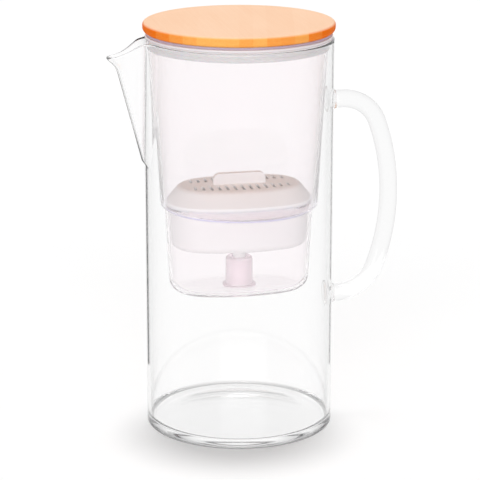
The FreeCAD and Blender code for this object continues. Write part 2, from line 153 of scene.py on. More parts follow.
class NodeSheet:
    """The node tree of one material or of the world."""

    def __init__(self, tree: bpy.types.NodeTree) -> None:
        """Start from an empty tree."""
        self.tree = tree
        tree.nodes.clear()

    def node(self, kind: str, settings: Optional[dict[str, Any]] = None,
             sockets: Optional[dict[Union[int, str], Any]] = None, output: Union[int, str] = 0) -> Sock:
        """Add a node.

        Args:
            kind: the node's type.
            settings: the node's own properties, set first.
            sockets: values or links for its inputs, by name or place.
            output: the output to hand back.

        Returns:
            That output, or the first input of a node that has none.
        """
        made = self.tree.nodes.new(kind)
        for name, value in (settings or {}).items():
            setattr(made, name, value)
        for key, value in (sockets or {}).items():
            target = made.inputs[key]
            if isinstance(value, Sock):
                self.tree.links.new(value.socket, target)
            elif target.type == "RGBA" and len(value) == 3:
                target.default_value = (*value, 1.0)
            else:
                target.default_value = value
        return Sock(self, made.outputs[output] if len(made.outputs) else made.inputs[0])

    def point(self, scale: Triple = (1.0, 1.0, 1.0), turn: float = 0.0) -> Sock:
        """Object coordinates, stretched and turned about Z.

        Args:
            scale: how much each axis is stretched.
            turn: turn about Z in degrees.

        Returns:
            The mapped point.
        """
        place = self.node("ShaderNodeTexCoord", output="Object")
        return self.node("ShaderNodeMapping", sockets={
            "Vector": place, "Rotation": (0.0, 0.0, math.radians(turn)), "Scale": scale})

    def height(self) -> Sock:
        """Height of the point above the jug's foot, in metres."""
        return self.node("ShaderNodeSeparateXYZ", sockets={0: self.point()}, output="Z")

    def facing(self) -> Sock:
        """Zero where the surface is seen squarely, rising to one where it is seen edge on."""
        return self.node("ShaderNodeLayerWeight", sockets={"Blend": 0.5}, output="Facing")

    def noise(self, point: Sock, scale: float, detail: float = 3.0, rough: float = 0.5) -> Sock:
        """Noise from 0 to 1 at a point.

        Args:
            point: where it is read.
            scale: waves per metre.
            detail: number of finer octaves.
            rough: strength of the finer octaves.

        Returns:
            The noise value.
        """
        return self.node("ShaderNodeTexNoise", sockets={
            "Vector": point, "Scale": scale, "Detail": detail, "Roughness": rough})

    def mix(self, share: Value, first: Union[Sock, Colour], second: Union[Sock, Colour]) -> Sock:
        """Blend two colours.

        Args:
            share: 0 gives the first colour and 1 the second.
            first: a colour.
            second: a colour.

        Returns:
            The blended colour.
        """
        return self.node("ShaderNodeMix", {"data_type": "RGBA"}, {0: share, 6: first, 7: second}, output=2)

    def bump(self, height: Sock, strength: float, depth: float) -> Sock:
        """Normal that follows a height.

        Args:
            height: the height, from 0 to 1.
            strength: how strongly it tells.
            depth: the height of 1, in metres.

        Returns:
            The bent normal.
        """
        return self.node("ShaderNodeBump", sockets={
            "Strength": strength, "Distance": depth, "Height": height})

    def principled(self, **sockets: Any) -> Sock:
        """Principled shader, with underscores for the spaces in its inputs' names."""
        return self.node("ShaderNodeBsdfPrincipled", sockets={
            name.replace("_", " "): value for name, value in sockets.items()})

    def diffuse(self, colour: Colour) -> Sock:
        """Plain matt shader."""
        return self.node("ShaderNodeBsdfDiffuse", sockets={"Color": colour})

    def transparent(self, colour: Colour) -> Sock:
        """Shader that light goes straight through, tinted."""
        return self.node("ShaderNodeBsdfTransparent", sockets={"Color": colour})

    def path(self, fact: str) -> Sock:
        """One fact about the ray that asks, such as its kind or how often it has passed a surface."""
        return self.node("ShaderNodeLightPath", output=fact)

    def through(self) -> Sock:
        """One for the rays that show the background in glass and gloss."""
        return self.path("Is Glossy Ray").at_least(self.path("Is Transmission Ray"))

    def either(self, share: Value, first: Sock, second: Sock) -> Sock:
        """Blend two shaders: share 0 gives the first and 1 the second."""
        return self.node("ShaderNodeMixShader", sockets={0: share, 1: first, 2: second})

    def lit_through(self, shader: Sock, passes: Colour) -> Sock:
        """See-through shader that lets light reach what stands behind it.

        Args:
            shader: the shader that is seen.
            passes: the share of lamp light and diffuse light that goes straight through.

        Returns:
            The shader with its light paths.
        """
        clear = self.transparent(passes)
        soft = self.either(self.path("Is Diffuse Ray"), shader, clear)
        return self.either(self.path("Is Shadow Ray"), soft, clear)


# Finishes

@dataclass(frozen=True)
class Finish:
    """A procedural material."""

    def shader(self, sheet: NodeSheet) -> Sock:
        """Surface shader of the finish."""
        raise NotImplementedError

    def material(self, name: str) -> bpy.types.Material:
        """Make the material.

        Args:
            name: its name.

        Returns:
            The finished material.
        """
        made = bpy.data.materials.new(name)
        made.use_nodes = True
        sheet = NodeSheet(made.node_tree)
        sheet.node("ShaderNodeOutputMaterial", sockets={"Surface": self.shader(sheet)})
        return made


@dataclass(frozen=True)
class ClearGlass(Finish):
    """Blown borosilicate: clear, with faint ripples, greyed edge on by painted shade, and a foot painted
    grey as shade.
    """

    face: Colour = (0.995, 0.995, 0.995)
    edge: Colour = (0.50, 0.50, 0.505)
    edge_power: float = 4.0
    index: float = 1.47
    ripples: float = 45.0
    ripple_stretch: float = 0.25
    ripple_strength: float = 0.4
    ripple_depth: float = 0.00002
    passes: Colour = (0.95, 0.95, 0.95)
    foot_shade_colour: Colour = (0.08, 0.08, 0.085)
    foot_rough: float = 0.4
    foot_share: float = 0.65
    foot_radius: float = 0.0575
    foot_edge: float = 0.001
    band_height: float = 0.0042
    band_fade: float = 1.4
    band_gain: float = 2.0
    line_height: float = 0.0012
    line_fade: float = 1.5

    def shader(self, sheet: NodeSheet) -> Sock:
        """Glass whose colour greys edge on as painted shade, and whose foot is partly painted grey on its
        outside as shade.

        The painted shade is a thin grey line at the very bottom, and over it a band that fades with height
        and is stronger where the foot turns away; it stands in for the shaded floor under the jug that the
        foot shows.

        Args:
            sheet: the material's node sheet.

        Returns:
            The surface shader, which lets most lamp light through.
        """
        facing = sheet.facing()
        height = sheet.height()
        flat = sheet.point((1.0, 1.0, 0.0))
        away = sheet.node("ShaderNodeVectorMath", {"operation": "LENGTH"}, {0: flat}, "Value")
        waves = sheet.noise(sheet.point((1.0, 1.0, self.ripple_stretch)), self.ripples, 1.0)
        # Painted shade: the colour greys where the surface turns edge on, standing in for the dark edges
        # that glass shows.
        glass = sheet.principled(
            Base_Color=sheet.mix(facing ** self.edge_power, self.face, self.edge), Roughness=0.0,
            IOR=self.index, Transmission_Weight=1.0,
            Normal=sheet.bump(waves, self.ripple_strength, self.ripple_depth))
        # Painted shade on the foot: a grey line at the bottom and a band above it, for the shaded floor
        # that the foot shows.
        turned = (facing * self.band_gain).at_most(self.foot_share)
        band = (self.band_fade - height / self.band_height).within() * turned
        line = (self.line_fade - height / self.line_height).within() * self.foot_share
        outside = ((away - self.foot_radius) / self.foot_edge).within()
        grey = sheet.principled(Base_Color=self.foot_shade_colour, Roughness=self.foot_rough)
        seen = sheet.either(band.at_least(line) * outside, glass, grey)
        return sheet.lit_through(seen, self.passes)


@dataclass(frozen=True)
class Bamboo(Finish):
    """Laminated bamboo: strips side by side, each with its own tone, fine fibres and a warmer edge, whose
    sides carry painted shade and whose middle a painted sheen.
    """

    top: float
    pale: Colour = (0.94, 0.66, 0.47)
    warm: Colour = (0.87, 0.53, 0.33)
    top_shares: Triple = (0.15, 0.45, 0.4)
    edge_pale_and_sheen: Colour = (0.90, 0.45, 0.115)
    edge_dark_and_shade: Colour = (0.84, 0.16, 0.0)
    edge_shares: Triple = (0.4, 1.5, 0.5)
    edge_start: float = 0.2
    edge_drop: float = 0.0014
    edge_fade: float = 0.0012
    strip_width: float = 0.0085
    strip_turn: float = 12.0
    board_half: float = 0.061
    side_shade_power: float = 4.0
    fibres: Triple = (900.0, 16.0, 900.0)
    fibre_rough: float = 0.6
    clouds: float = 55.0
    cloud_stretch: Triple = (1.0, 0.35, 1.0)
    rough: float = 0.4
    rough_spread: float = 0.16
    specular: float = 0.03
    relief_strength: float = 0.25
    relief: float = 0.00006

    def shader(self, sheet: NodeSheet) -> Sock:
        """Strips by a stepped coordinate, fibres by stretched noise, the edge by its height.

        The shares say how much strips, fibres and clouds darken the top, and how much strips, the
        distance from the board's middle and fibres darken the edge. Darkening by that distance is painted
        shade on the edge's sides, and the pale middle it leaves is a painted sheen.

        Args:
            sheet: the material's node sheet.

        Returns:
            The surface shader.
        """
        across = sheet.node("ShaderNodeSeparateXYZ", sockets={0: sheet.point(turn=self.strip_turn)})
        index = sheet.node("ShaderNodeMath", {"operation": "FLOOR"}, {0: across / self.strip_width})
        strips = sheet.node("ShaderNodeTexWhiteNoise", {"noise_dimensions": "1D"}, {"W": index})
        # Painted shade: the edge darkens with distance from the board's middle, so its sides look turned
        # from the light and its middle looks lit.
        side_shade = ((index + 0.5) * (self.strip_width / self.board_half)) ** self.side_shade_power
        fibres = sheet.noise(sheet.point(self.fibres, self.strip_turn), 1.0, 4.0, self.fibre_rough)
        clouds = sheet.noise(sheet.point(self.cloud_stretch, self.strip_turn), self.clouds, 2.0)
        by_strip, by_fibre, by_cloud = self.top_shares
        tone = strips * by_strip + fibres * by_fibre + clouds * by_cloud
        face = sheet.mix(tone, self.pale, self.warm)
        by_strip, by_side_shade, by_fibre = self.edge_shares
        darker = (strips * by_strip + side_shade * by_side_shade + fibres * by_fibre - self.edge_start).within()
        side = sheet.mix(darker, self.edge_pale_and_sheen, self.edge_dark_and_shade)
        upper = ((sheet.height() - (self.top - self.edge_drop)) / self.edge_fade).within()
        return sheet.principled(
            Base_Color=sheet.mix(upper, side, face), Roughness=self.rough + fibres * self.rough_spread,
            Specular_IOR_Level=self.specular,
            Normal=sheet.bump(fibres, self.relief_strength, self.relief))


@dataclass(frozen=True)
class MilkyPlastic(Finish):
    """Clear moulded plastic with a faint milky bloom, which shows most in thick places and edge on, and a
    painted lavender highlight at the step's corner.
    """

    step: float
    flange: float
    tint: Colour = (1.0, 0.968, 0.98)
    pale: Colour = (1.0, 0.986, 0.992)
    clear: float = 0.99
    rough: float = 0.05
    index: float = 1.2
    rough_spread: float = 0.04
    clouds: float = 38.0
    passes: Colour = (0.985, 0.97, 0.975)
    step_highlight: Colour = (0.80, 0.76, 1.0)
    step_highlight_half: float = 0.0010
    haze: Colour = (0.84, 0.80, 0.83)
    haze_rough: float = 0.3
    haze_rise: float = 0.0008
    haze_most: float = 0.85
    edge_haze: float = 0.6
    edge_power: float = 4.0

    def shader(self, sheet: NodeSheet) -> Sock:
        """Slightly rough glass with a painted lavender highlight at the step's corner, clouded in the
        flange and edge on.

        Args:
            sheet: the material's node sheet.

        Returns:
            The surface shader, which lets most lamp light through.
        """
        cloud = sheet.noise(sheet.point(), self.clouds, 2.0)
        height = sheet.height()
        # Painted highlight: a lavender band at the step corner's height, for the light that the bevel
        # catches.
        corner = (1.0 - ((height - self.step) / self.step_highlight_half) ** 2.0).at_least(0.0)
        colour = sheet.mix(corner, sheet.mix(cloud, self.tint, self.pale), self.step_highlight)
        clear = sheet.principled(
            Base_Color=colour, Roughness=self.rough + cloud * self.rough_spread, IOR=self.index,
            Transmission_Weight=self.clear)
        milk = sheet.principled(Base_Color=self.haze, Roughness=self.haze_rough)
        thick = ((height - self.flange) / self.haze_rise).within(0.0, self.haze_most)
        cloudy = thick.at_least(sheet.facing() ** self.edge_power * self.edge_haze)
        return sheet.lit_through(sheet.either(cloudy, clear, milk), self.passes)


@dataclass(frozen=True)
class Silicone(Finish):
    """Soft silicone with a fine matt bloom."""

    colour: Colour = (0.66, 0.63, 0.64)
    pale: Colour = (0.72, 0.69, 0.70)
    rough: float = 0.5
    rough_spread: float = 0.12
    blooms: float = 160.0
    grains: float = 2400.0
    relief_strength: float = 0.15
    relief: float = 0.00002
    glow: float = 0.15
    glow_depth: float = 0.002

    def shader(self, sheet: NodeSheet) -> Sock:
        """Two close tones and a fine grain.

        Args:
            sheet: the material's node sheet.

        Returns:
            The surface shader.
        """
        bloom = sheet.noise(sheet.point(), self.blooms, 3.0)
        grain = sheet.noise(sheet.point(), self.grains, 2.0)
        return sheet.principled(
            Base_Color=sheet.mix(bloom, self.colour, self.pale),
            Roughness=self.rough + bloom * self.rough_spread,
            Normal=sheet.bump(grain, self.relief_strength, self.relief),
            Subsurface_Weight=self.glow, Subsurface_Scale=self.glow_depth)


@dataclass(frozen=True)
class MouldedPlastic(Finish):
    """Opaque moulded plastic with a satin skin."""

    colour: Colour = (0.97, 0.965, 0.967)
    shade: Colour = (0.94, 0.935, 0.938)
    rough: float = 0.35
    rough_spread: float = 0.15
    flows: float = 70.0
    flow_stretch: Triple = (1.0, 1.0, 0.4)
    grains: float = 1800.0
    relief_strength: float = 0.12
    relief: float = 0.00002

    def shader(self, sheet: NodeSheet) -> Sock:
        """Flow marks in two close tones over a fine spark-eroded grain.

        Args:
            sheet: the material's node sheet.

        Returns:
            The surface shader.
        """
        flow = sheet.noise(sheet.point(self.flow_stretch), self.flows, 3.0)
        grain = sheet.noise(sheet.point(), self.grains, 2.0)
        return sheet.principled(
            Base_Color=sheet.mix(flow, self.colour, self.shade),
            Roughness=self.rough + grain * self.rough_spread,
            Normal=sheet.bump(grain, self.relief_strength, self.relief))


@dataclass(frozen=True)
class Fleece(Finish):
    """Needled fleece: a felt of short fibres."""

    colour: Colour = (0.88, 0.88, 0.86)
    shade: Colour = (0.70, 0.70, 0.68)
    rough: float = 0.95
    fibres: float = 1500.0
    fibre_stretch: float = 0.15
    fibre_turn: float = 25.0
    felting: float = 2.0
    relief_strength: float = 0.7
    relief: float = 0.0003

    def shader(self, sheet: NodeSheet) -> Sock:
        """Fibres from two crossed stretched noises.

        Args:
            sheet: the material's node sheet.

        Returns:
            The surface shader.
        """
        along = sheet.noise(sheet.point((1.0, self.fibre_stretch, 1.0), self.fibre_turn), self.fibres, 3.0)
        across = sheet.noise(sheet.point((self.fibre_stretch, 1.0, 1.0), self.fibre_turn), self.fibres, 3.0)
        felt = along * across * self.felting
        return sheet.principled(
            Base_Color=sheet.mix(felt, self.shade, self.colour), Roughness=self.rough,
            Normal=sheet.bump(felt, self.relief_strength, self.relief))


@dataclass(frozen=True)
class FilterBed(Finish):
    """A packed layer of beads or granules."""

    grain: Grain
    size: float
    light: Colour
    dark: Colour
    rough: float
    tone_share: float = 0.6
    gap_shade_share: float = 0.4
    relief_strength: float = 0.8

    def shader(self, sheet: NodeSheet) -> Sock:
        """Voronoi cells as grains: a tone for each, painted shade that darkens each towards its edge, and a
        bump that rounds it or breaks it.

        Args:
            sheet: the material's node sheet.

        Returns:
            The surface shader.
        """
        metric = "EUCLIDEAN" if self.grain is Grain.BEADS else "CHEBYCHEV"
        settings = {"feature": "F1", "distance": metric}
        sockets = {"Vector": sheet.point(), "Scale": 1.0 / self.size}
        hollow = sheet.node("ShaderNodeTexVoronoi", settings, sockets, "Distance")
        tone = sheet.node("ShaderNodeTexVoronoi", settings, sockets, "Color")
        spread = sheet.node("ShaderNodeSeparateColor", sockets={0: tone})
        # Painted shade: each grain darkens towards its edge, as shade in the gaps between grains.
        darker = spread * self.tone_share + hollow * self.gap_shade_share
        return sheet.principled(
            Base_Color=sheet.mix(darker, self.light, self.dark), Roughness=self.rough,
            Normal=sheet.bump(1.0 - hollow, self.relief_strength, self.size))


@dataclass(frozen=True)
class FloorPaint(Finish):
    """White paint that keeps the pitcher's shadow, and shows brighter in glass and gloss."""

    colour: Colour = (0.94, 0.94, 0.94)
    glow: float = 0.05
    glow_through: float = 0.8

    def shader(self, sheet: NodeSheet) -> Sock:
        """Matt paint, with a share of plain white for the rays that show the background.

        Args:
            sheet: the material's node sheet.

        Returns:
            The surface shader.
        """
        paint = sheet.diffuse(self.colour)
        white = sheet.node("ShaderNodeEmission", sockets={"Color": WHITE, "Strength": 1.0})
        direct = sheet.path("Is Camera Ray") * self.glow
        return sheet.either((sheet.through() * self.glow_through).at_least(direct), paint, white)


@dataclass(frozen=True)
class DarkCard(Finish):
    """Dark card that shows only as a mirror image in one wall of the glass, and else is clear."""

    colour: Colour = (0.05, 0.05, 0.05)
    too_deep: float = 3.0

    def shader(self, sheet: NodeSheet) -> Sock:
        """Dark for rays that were mirrored at least once and have passed one wall at most.

        Args:
            sheet: the material's node sheet.

        Returns:
            The surface shader.
        """
        one_wall = (self.too_deep - sheet.path("Transmission Depth")).within()
        mirrored = sheet.path("Glossy Depth").at_most(1.0)
        return sheet.either(one_wall * mirrored, sheet.transparent(WHITE), sheet.diffuse(self.colour))


# Surfaces

ROOM_SHARE = 0.49
LEAST_GUARD = 0.01


def rounded(corners: Sequence[Corner], closed: bool, steps: int = 5, guard: float = 0.4) -> np.ndarray:
    """Outline in the plane of two coordinates, with its corners turned into arcs.

    A corner's arc touches both sides at its radius over the tangent of half the angle between them. One
    more point stands a little way before and after each arc, so that the flats beside it shade flat.

    Args:
        corners: first coordinate, height and corner radius of each point.
        closed: whether the last point joins the first.
        steps: spans of each arc.
        guard: how far the extra points stand from an arc.

    Returns:
        Points in order, one per row.
    """
    places = np.array([corner[:2] for corner in corners])
    count = len(corners)
    share = np.linspace(0.0, 1.0, steps + 1)[:, None]
    rows = []
    for index, (place, corner) in enumerate(zip(places, corners)):
        radius = corner[2]
        end = not closed and index in (0, count - 1)
        if end or radius <= 0.0:
            rows.append(place[None])
            continue
        back = places[index - 1] - place
        ahead = places[(index + 1) % count] - place
        room = ROOM_SHARE * min(np.linalg.norm(back), np.linalg.norm(ahead))
        back, ahead = back / np.linalg.norm(back), ahead / np.linalg.norm(ahead)
        half = 0.5 * math.acos(float(np.clip(back @ ahead, -1.0, 1.0)))
        reach = min(radius / math.tan(half), room)
        radius = reach * math.tan(half)
        centre = place + (back + ahead) / np.linalg.norm(back + ahead) * radius / math.sin(half)
        first, last = place + back * reach - centre, place + ahead * reach - centre
        sweep = math.pi - 2.0 * half
        swung = np.sin((1.0 - share) * sweep) * first + np.sin(share * sweep) * last
        arc = centre + swung / math.sin(sweep)
        beside = min(guard, room - reach)
        if beside > LEAST_GUARD:
            arc = np.vstack([arc[:1] + back * beside, arc, arc[-1:] + ahead * beside])
        rows.append(arc)
    return np.vstack(rows)


def ribbed(crest: float, rib: float, low: float, high: float,
           count: int = 2, points: int = 25) -> np.ndarray:
    """Outline of round ribs on a skirt: the radius follows the size of a sine from bottom to top.

    Args:
        crest: radius at the top of a rib.
        rib: how far a rib stands out.
        low: height of the skirt's bottom.
        high: height of the skirt's top.
        count: number of ribs.
        points: points on the outline.

    Returns:
        Radius and height, one point per row.
    """
    wave = np.linspace(0.0, count * np.pi, points)
    radius = crest - rib * (1.0 - np.abs(np.sin(wave)))
    return np.stack([radius, low + (high - low) * wave / (count * np.pi)], axis=-1)


def lathe(outline: np.ndarray, columns: int = 192) -> np.ndarray:
    """Rings of a turned shape: each outline point (radius, height) becomes a circle about Z.

    Args:
        outline: radius and height of each ring.
        columns: points on each ring.

    Returns:
        Rings as rows, columns and coordinates.
    """
    turn = np.linspace(0.0, 2.0 * np.pi, columns, endpoint=False)
    radius, height = outline[:, 0, None], outline[:, 1, None]
    return np.stack(np.broadcast_arrays(radius * np.cos(turn), radius * np.sin(turn), height), axis=-1)


def skin(name: str, rings: np.ndarray, ends: Ends) -> bpy.types.Object:
    """Closed mesh over rings of points, with faces that point outwards.

    Each ring runs anticlockwise seen from above, and the rings run from the bottom outwards and up.

    Args:
        name: the piece's name.
        rings: rows, columns and coordinates in millimetres.
        ends: how the first and last rings are closed.

    Returns:
        The piece, at the origin.
    """
    rows, columns = rings.shape[:2]
    points = rings.reshape(-1, 3)
    index = np.arange(rows * columns).reshape(rows, columns)
    if ends is Ends.LOOP:
        index = np.vstack([index, index[:1]])
    beside = np.roll(index, -1, axis=1)
    faces = np.stack([index[:-1], beside[:-1], beside[1:], index[1:]], axis=-1).reshape(-1, 4).tolist()
    if ends is Ends.POLES:
        low, high = len(points), len(points) + 1
        points = np.vstack([points, rings[0].mean(axis=0), rings[-1].mean(axis=0)])
        faces += np.stack([np.full(columns, low), beside[0], index[0]], axis=-1).tolist()
        faces += np.stack([np.full(columns, high), index[-1], beside[-1]], axis=-1).tolist()
    mesh = bpy.data.meshes.new(name)
    mesh.from_pydata((points * MM).tolist(), [], faces)
    mesh.polygons.foreach_set("use_smooth", np.ones(len(mesh.polygons), dtype=bool))
    mesh.update()
    piece = bpy.data.objects.new(name, mesh)
    bpy.context.scene.collection.objects.link(piece)
    return piece


def settle(piece: bpy.types.Object, node: str, body: str, finish: bpy.types.Material) -> None:
    """Dress a new piece and put it in the place of its node.

    Args:
        piece: the new piece.
        node: the node that it stands for.
        body: the body that it moves with.
        finish: its material.
    """
    piece.data.materials.append(finish)
    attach(piece, body)
    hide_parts(node)
    log.info("%s: %d faces on body %s", node, len(piece.data.polygons), body)


# Sub-assemblies

@dataclass
class GlassJug:
    """Blown jug with its pulled spout, and the rod handle that is welded to it."""

    radius: float = 60.0
    height: float = 253.0
    wall: float = 2.2
    floor: float = 5.0
    foot_round: float = 2.0
    floor_round: float = 3.5
    foot_width: float = 9.0
    punt: float = 1.2
    spout_length: float = 81.0
    root_rise: float = 6.0
    root_reach: float = 3.0
    spout_angle: float = 14.6
    lip_drop: float = 20.0
    curl_radius: float = 14.0
    curl_angle: float = 45.0
    nose: float = 5.5
    blend: float = 26.0
    dip: float = 9.0
    dip_start: float = 0.5
    dip_angle: float = 32.0
    dip_shoulder: float = 6.0
    dip_hollow: float = 30.0
    lip_angle: float = 6.0
    rod: float = 11.5
    arm_drop: float = 42.2
    arm_spacing: float = 128.8
    arm_run: float = 8.0
    top_bend: float = 24.0
    low_bend: float = 28.0
    grip_lean: float = 20.0
    weld_spread: float = 2.6
    weld_length: float = 4.0
    weld_power: float = 2.2
    weld_gap: float = 0.03

    # How the surfaces are divided
    root_turns: Triple = (169.0, 177.0, 180.0)
    spans: tuple[int, int, int] = (84, 28, 12)
    wall_rows: int = 61
    plain_rows: int = 8
    corner_rows: int = 9
    floor_rows: int = 12
    rim_rows: int = 9
    rim_steps: int = 40
    hub_share: float = 0.03
    floor_share: float = 0.99
    foot_guard: float = 0.4
    corner_gap: float = 0.5
    root_gap: float = 1.0
    rod_columns: int = 48
    rod_rows: int = 150
    weld_rows: int = 9
    weld_guard: float = 1.0
    cap_rows: int = 6
    cap_share: float = 0.05
    path_points: int = 6001

    @property
    def root(self) -> float:
        """Height where the spout begins."""
        return self.height - self.spout_length

    def reach(self, z: np.ndarray) -> np.ndarray:
        """How far the nose stands out: a straight slant, then an arc, then a straight flare.

        Args:
            z: heights.

        Returns:
            Reach at each height.
        """
        lean, curl_end = math.radians(self.spout_angle), math.radians(self.curl_angle)
        straight, curl = self.root + self.root_rise, self.height - self.lip_drop
        slant = self.root_reach + (np.clip(z, straight, curl) - straight) * math.tan(lean)
        sine = np.clip(math.sin(lean) + (z - curl) / self.curl_radius, math.sin(lean), math.sin(curl_end))
        bend = self.curl_radius * (math.cos(lean) - np.sqrt(1.0 - sine ** 2))
        over = np.maximum(z - curl - self.curl_radius * (sine - math.sin(lean)), 0.0)
        return slant + bend + over * sine / np.sqrt(1.0 - sine ** 2)

    def columns(self) -> tuple[np.ndarray, np.ndarray, np.ndarray]:
        """Columns of the outline: main circle, hollow blend and nose on one side, then mirrored.

        Returns:
            Which arc each column lies on, how far along it, and its side.
        """
        main, hollow, nose = self.spans
        arc = np.repeat([0, 1, 2], [main, hollow, nose + 1])
        share = np.concatenate([
            np.arange(main) / main, np.arange(hollow) / hollow, np.arange(nose + 1) / nose])
        back = slice(-2, 0, -1)
        side = np.concatenate([np.ones(len(arc)), -np.ones(len(arc) - 2)])
        return np.concatenate([arc, arc[back]]), np.concatenate([share, share[back]]), side

    def circle(self, radius: Union[float, np.ndarray], z: np.ndarray) -> np.ndarray:
        """Rings of plain circles whose columns fall where the spout's arcs begin.

        Args:
            radius: radius of all rings, or of each row.
            z: height of each row, or of each row and column.

        Returns:
            Rings as rows, columns and coordinates.
        """
        arc, share, side = self.columns()
        stops = np.radians([0.0, *self.root_turns])
        turn = stops[arc] + share * (stops[arc + 1] - stops[arc])
        x, y = radius * np.cos(turn), radius * np.sin(turn) * side
        return np.stack(np.broadcast_arrays(x, y, z), axis=-1)

    def spouted(self, z: np.ndarray, inset: float) -> np.ndarray:
        """Wall points at heights given for each row and column, inset from the outside.

        The outline is the main circle, a hollow arc tangent to it outside, and the nose arc tangent to
        that. With B and n the distances of the hollow's and the nose's centres from the axis and g the
        distance between them, the hollow's centre lies acos((B2 + n2 - g2) / 2Bn) away from the nose.

        Args:
            z: heights as rows and columns.
            inset: distance inside the glass's outside.

        Returns:
            Points as rows, columns and coordinates.
        """
        arc, share, side = self.columns()
        far = self.radius + self.blend
        out = self.radius + self.reach(z) - self.nose
        gap = self.nose + self.blend
        turn = np.arccos((far ** 2 + out ** 2 - gap ** 2) / (2.0 * far * out))
        away = np.arctan2(-far * np.sin(turn), far * np.cos(turn) - out)
        main = share * (np.pi - turn)
        hollow = -turn + share * (away + turn)
        tip = np.pi + away * (1.0 - share)
        round_out, round_in, round_tip = self.radius - inset, self.blend + inset, self.nose - inset
        x = np.choose(arc, [
            round_out * np.cos(main), -far * np.cos(turn) + round_in * np.cos(hollow),
            -out + round_tip * np.cos(tip)])
        y = np.choose(arc, [
            round_out * np.sin(main), far * np.sin(turn) + round_in * np.sin(hollow),
            round_tip * np.sin(tip)])
        grown = np.stack([x, y * side, z], axis=-1)
        plain = self.circle(round_out, z)
        rise = np.clip((z - self.root) / self.root_rise, 0.0, 1.0)[..., None]
        return plain + (grown - plain) * rise ** 2 * (3.0 - 2.0 * rise)

    def rim_line(self, x: np.ndarray) -> np.ndarray:
        """Height of the rim: level, a shoulder arc, a straight fall, a hollow arc and the lip's slope.

        Args:
            x: places along the spout.

        Returns:
            Height at each place.
        """
        steep, flat = math.radians(self.dip_angle), math.radians(self.lip_angle)
        u = -x - self.radius - self.dip_start
        first = self.dip_shoulder * (1.0 - math.cos(steep))
        fall = self.dip - first - self.dip_hollow * (math.cos(flat) - math.cos(steep))
        one = self.dip_shoulder * math.sin(steep)
        two = one + fall / math.tan(steep)
        three = two + self.dip_hollow * (math.sin(steep) - math.sin(flat))
        over = self.dip_shoulder - np.sqrt(self.dip_shoulder ** 2 - np.clip(u, 0.0, one) ** 2)
        slide = (np.clip(u, one, two) - one) * math.tan(steep)
        sine = math.sin(steep) - (np.clip(u, two, three) - two) / self.dip_hollow
        under = self.dip_hollow * (np.sqrt(1.0 - sine ** 2) - math.cos(steep))
        beyond = np.maximum(u - three, 0.0) * math.tan(flat)
        return self.height - over - slide - under - beyond

    def rim_height(self, inset: float) -> np.ndarray:
        """Height at which each column meets the rim line, by damped steps towards it.

        Args:
            inset: distance inside the glass's outside.

        Returns:
            Height of each column's end.
        """
        z = np.full((1, len(self.columns()[0])), self.height)
        for _ in range(self.rim_steps):
            z = 0.5 * (z + self.rim_line(self.spouted(z, inset)[..., 0]))
        return z

    def foot_outline(self) -> np.ndarray:
        """Outline from the punt's hollow, a shallow sphere, round the foot and up to the spout's root.

        Returns:
            Radius and height, one point per row.
        """
        corner = np.linspace(0.0, 0.5 * np.pi, self.corner_rows)
        ring = self.radius - self.foot_round
        edge = ring - self.foot_width
        sphere = (edge ** 2 + self.punt ** 2) / (2.0 * self.punt)
        hollow = edge * np.linspace(self.hub_share, 1.0, self.floor_rows)
        radius = np.concatenate([
            hollow, [edge + self.foot_guard, ring - self.foot_guard],
            self.radius - self.foot_round * (1.0 - np.sin(corner)), np.full(self.plain_rows, self.radius)])
        height = np.concatenate([
            np.sqrt(sphere ** 2 - hollow ** 2) - sphere + self.punt, [0.0, 0.0],
            self.foot_round * (1.0 - np.cos(corner)),
            np.linspace(self.foot_round + self.corner_gap, self.root - self.root_gap, self.plain_rows)])
        return np.stack([radius, height], axis=-1)

    def floor_outline(self) -> np.ndarray:
        """Outline from the spout's root down the inside, round the corner and in over the floor.

        Returns:
            Radius and height, one point per row.
        """
        corner = np.linspace(0.0, 0.5 * np.pi, self.corner_rows)
        inner = self.radius - self.wall
        corner_top = self.floor + self.floor_round
        radius = np.concatenate([
            np.full(self.plain_rows, inner), inner - self.floor_round * (1.0 - np.cos(corner)),
            (inner - self.floor_round) * np.linspace(self.floor_share, self.hub_share, self.floor_rows)])
        height = np.concatenate([
            np.linspace(self.root - self.root_gap, corner_top + self.corner_gap, self.plain_rows),
            self.floor + self.floor_round * (1.0 - np.sin(corner)), np.full(self.floor_rows, self.floor)])
        return np.stack([radius, height], axis=-1)

    def body_rings(self) -> np.ndarray:
        """Rings of the jug: foot, outside wall, round rim, inside wall and floor.

        The rim is a half circle in each column, from the outside wall's end to the inside wall's.

        Returns:
            Rings as rows, columns and coordinates.
        """
        foot, floor = self.foot_outline(), self.floor_outline()
        ease = np.linspace(0.0, 1.0, self.wall_rows)[:, None]
        half = 0.5 * self.wall
        top_out, top_in = self.rim_height(0.0) - half, self.rim_height(self.wall) - half
        outside = self.spouted(self.root + ease * (top_out - self.root), 0.0)
        inside = self.spouted(self.root + ease * (top_in - self.root), self.wall)[::-1]
        middle = 0.5 * (outside[-1] + inside[0])
        spread = 0.5 * (outside[-1] - inside[0])
        rise = outside[-1] - outside[-2] + inside[0] - inside[1]
        width = np.linalg.norm(spread, axis=-1, keepdims=True)
        across = spread / width
        rise = rise - across * (rise * across).sum(axis=-1, keepdims=True)
        rise = rise / np.linalg.norm(rise, axis=-1, keepdims=True)
        turn = np.linspace(0.0, np.pi, self.rim_rows + 2)[1:-1, None, None]
        rim = middle + spread * np.cos(turn) + rise * width * np.sin(turn)
        return np.concatenate([
            self.circle(foot[:, :1], foot[:, 1:]), outside, rim, inside,
            self.circle(floor[:, :1], floor[:, 1:])])

